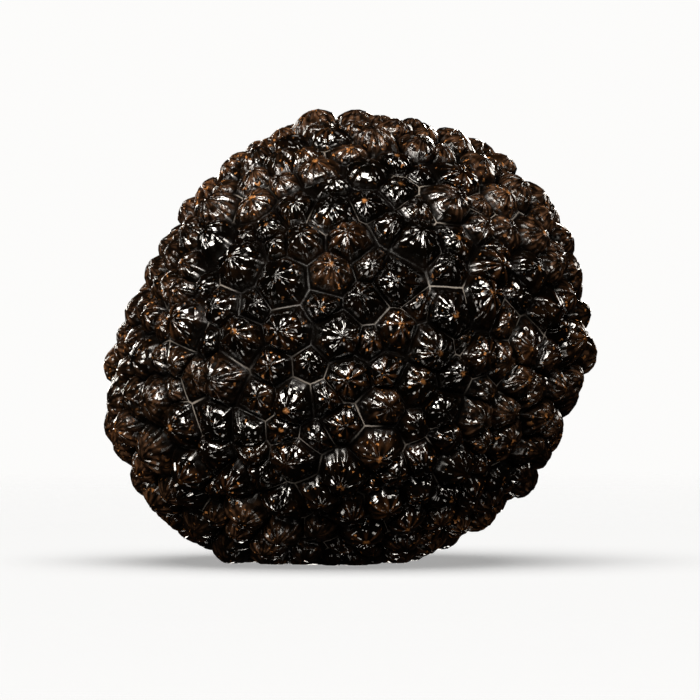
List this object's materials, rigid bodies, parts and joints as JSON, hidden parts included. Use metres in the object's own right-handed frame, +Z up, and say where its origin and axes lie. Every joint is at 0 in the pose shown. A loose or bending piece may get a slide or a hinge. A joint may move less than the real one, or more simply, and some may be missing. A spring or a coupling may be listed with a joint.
{
  "type": "black truffle",
  "caption": "Whole black truffle: a lopsided ball covered all over in polygonal warts that meet in narrow grooves, resting on a small flat spot.",
  "frame": {"origin": "on the flat spot that the truffle rests on, straight below the middle of its body", "axes": "+Z up, square to the flat spot; +X along the truffle's longest side; -Y is the side that the picture shows"},
  "size_m": [0.0366, 0.0346, 0.0336],
  "materials": {
    "truffle_skin": "moist black-brown skin with a broken gloss: near-black in the grooves, dark brown wart flanks with fine radial crests, orange-brown on many wart tips, and a thin grey-brown seam where warts meet"
  },
  "bodies": {
    "root": {"truffle": "truffle_skin"}
  },
  "joints": []
}
